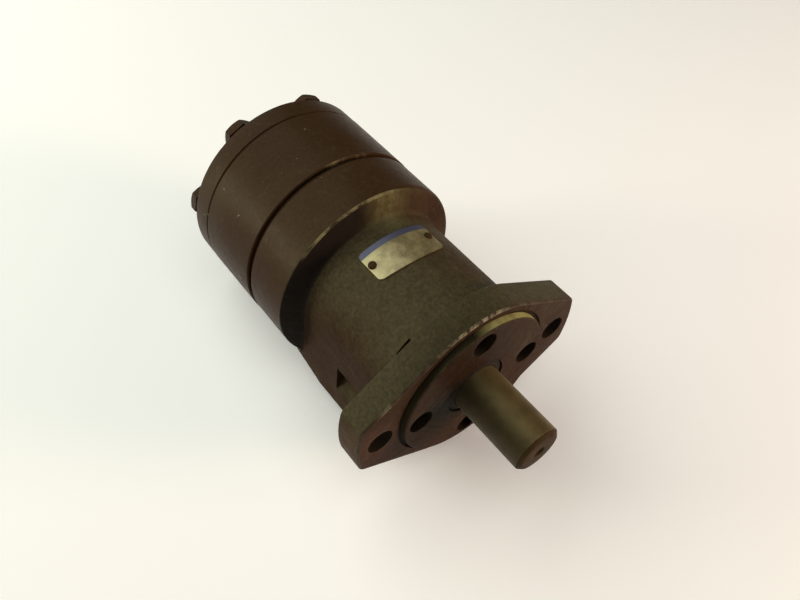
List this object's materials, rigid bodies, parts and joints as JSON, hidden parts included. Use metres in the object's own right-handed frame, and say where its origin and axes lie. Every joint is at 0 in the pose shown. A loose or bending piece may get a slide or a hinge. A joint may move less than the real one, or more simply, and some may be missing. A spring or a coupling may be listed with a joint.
{
  "type": "hydraulic motor",
  "caption": "Low-speed orbital hydraulic motor: cast body with a round gear-set drum, two-bolt pilot flange and a plain keyed shaft.",
  "frame": {"origin": "on the shaft's axis, in the plane of the flange's mounting face", "axes": "+X along the shaft, out of the motor; +Y through the ears' bolt holes; +Z toward the nameplate, away from the ports"},
  "size_m": [0.2146, 0.131, 0.1074],
  "materials": {
    "paint": "olive-brown paint over rough cast iron, oily and worn bright on the edges",
    "steel": "satin, oiled",
    "bright_steel": "ground",
    "dark_steel": "black oxide, oily",
    "rubber": "matte",
    "plate": "dull, straw-coloured"
  },
  "bodies": {
    "case": {"housing": "paint", "mounting_flange": "paint", "flange_screw_1": "dark_steel", "flange_screw_2": "dark_steel", "flange_screw_3": "dark_steel", "flange_screw_4": "dark_steel", "dust_seal": "rubber", "shaft_seal": "rubber", "seal_backup_washer": "bright_steel", "flange_o_ring": "rubber", "thrust_race_front": "bright_steel", "spacer_plate": "dark_steel", "geroler_ring": "paint", "end_cap": "paint", "end_cap_bolt_1": "dark_steel", "end_cap_bolt_2": "dark_steel", "end_cap_bolt_3": "dark_steel", "end_cap_bolt_4": "dark_steel", "end_cap_bolt_5": "dark_steel", "end_cap_bolt_6": "dark_steel", "end_cap_bolt_7": "dark_steel", "housing_o_ring": "rubber", "geroler_o_ring": "rubber", "cap_o_ring": "rubber", "check_seat_1": "bright_steel", "check_seat_2": "bright_steel", "drain_plug": "dark_steel", "drain_washer": "plate", "nameplate": "plate", "nameplate_screw_1": "steel", "nameplate_screw_2": "steel"},
    "shaft": {"output_shaft": "steel", "shaft_key": "bright_steel", "thrust_race_rear": "bright_steel"},
    "bearing": {"thrust_bearing": "bright_steel"},
    "link": {"drive_link": "bright_steel"},
    "star": {"geroler_star": "bright_steel"},
    "roller_1": {"roller_1": "bright_steel"},
    "roller_2": {"roller_2": "bright_steel"},
    "roller_3": {"roller_3": "bright_steel"},
    "roller_4": {"roller_4": "bright_steel"},
    "roller_5": {"roller_5": "bright_steel"},
    "roller_6": {"roller_6": "bright_steel"},
    "roller_7": {"roller_7": "bright_steel"},
    "check_ball_1": {"check_ball_1": "bright_steel"},
    "check_ball_2": {"check_ball_2": "bright_steel"}
  },
  "joints": [
    {"name": "shaft_spin", "type": "hinge", "parent": "case", "child": "shaft", "pos_m": [0, 0, 0], "axis": [1, 0, 0], "continuous": true},
    {"name": "bearing_spin", "type": "hinge", "parent": "case", "child": "bearing", "pos_m": [0, 0, 0], "axis": [1, 0, 0], "continuous": true},
    {"name": "link_orbit", "type": "hinge", "parent": "case", "child": "link", "pos_m": [0, 0, 0], "axis": [1, 0, 0], "continuous": true},
    {"name": "star_spin", "type": "hinge", "parent": "link", "child": "star", "pos_m": [0, -0.00218, 0.00176], "axis": [1, 0, 0], "continuous": true},
    {"name": "roller_1_spin", "type": "hinge", "parent": "case", "child": "roller_1", "pos_m": [0, -0.02332, 0.01887], "axis": [1, 0, 0], "continuous": true},
    {"name": "roller_2_spin", "type": "hinge", "parent": "case", "child": "roller_2", "pos_m": [0, -0.0293, -0.00646], "axis": [1, 0, 0], "continuous": true},
    {"name": "roller_3_spin", "type": "hinge", "parent": "case", "child": "roller_3", "pos_m": [0, -0.01321, -0.02693], "axis": [1, 0, 0], "continuous": true},
    {"name": "roller_4_spin", "type": "hinge", "parent": "case", "child": "roller_4", "pos_m": [0, 0.01282, -0.02712], "axis": [1, 0, 0], "continuous": true},
    {"name": "roller_5_spin", "type": "hinge", "parent": "case", "child": "roller_5", "pos_m": [0, 0.0292, -0.00689], "axis": [1, 0, 0], "continuous": true},
    {"name": "roller_6_spin", "type": "hinge", "parent": "case", "child": "roller_6", "pos_m": [0, 0.02359, 0.01853], "axis": [1, 0, 0], "continuous": true},
    {"name": "roller_7_spin", "type": "hinge", "parent": "case", "child": "roller_7", "pos_m": [0, 0.00022, 0.03], "axis": [1, 0, 0], "continuous": true},
    {"name": "check_ball_1_lift", "type": "slide", "parent": "case", "child": "check_ball_1", "axis": [1, 0, 0], "range_m": [0, 0.0018]},
    {"name": "check_ball_2_lift", "type": "slide", "parent": "case", "child": "check_ball_2", "axis": [1, 0, 0], "range_m": [0, 0.0018]}
  ],
  "couplings": [
    {"joint": "bearing_spin", "follows": "shaft_spin", "ratio": 0.5},
    {"joint": "link_orbit", "follows": "shaft_spin", "ratio": -6},
    {"joint": "star_spin", "follows": "shaft_spin", "ratio": 7}
  ]
}
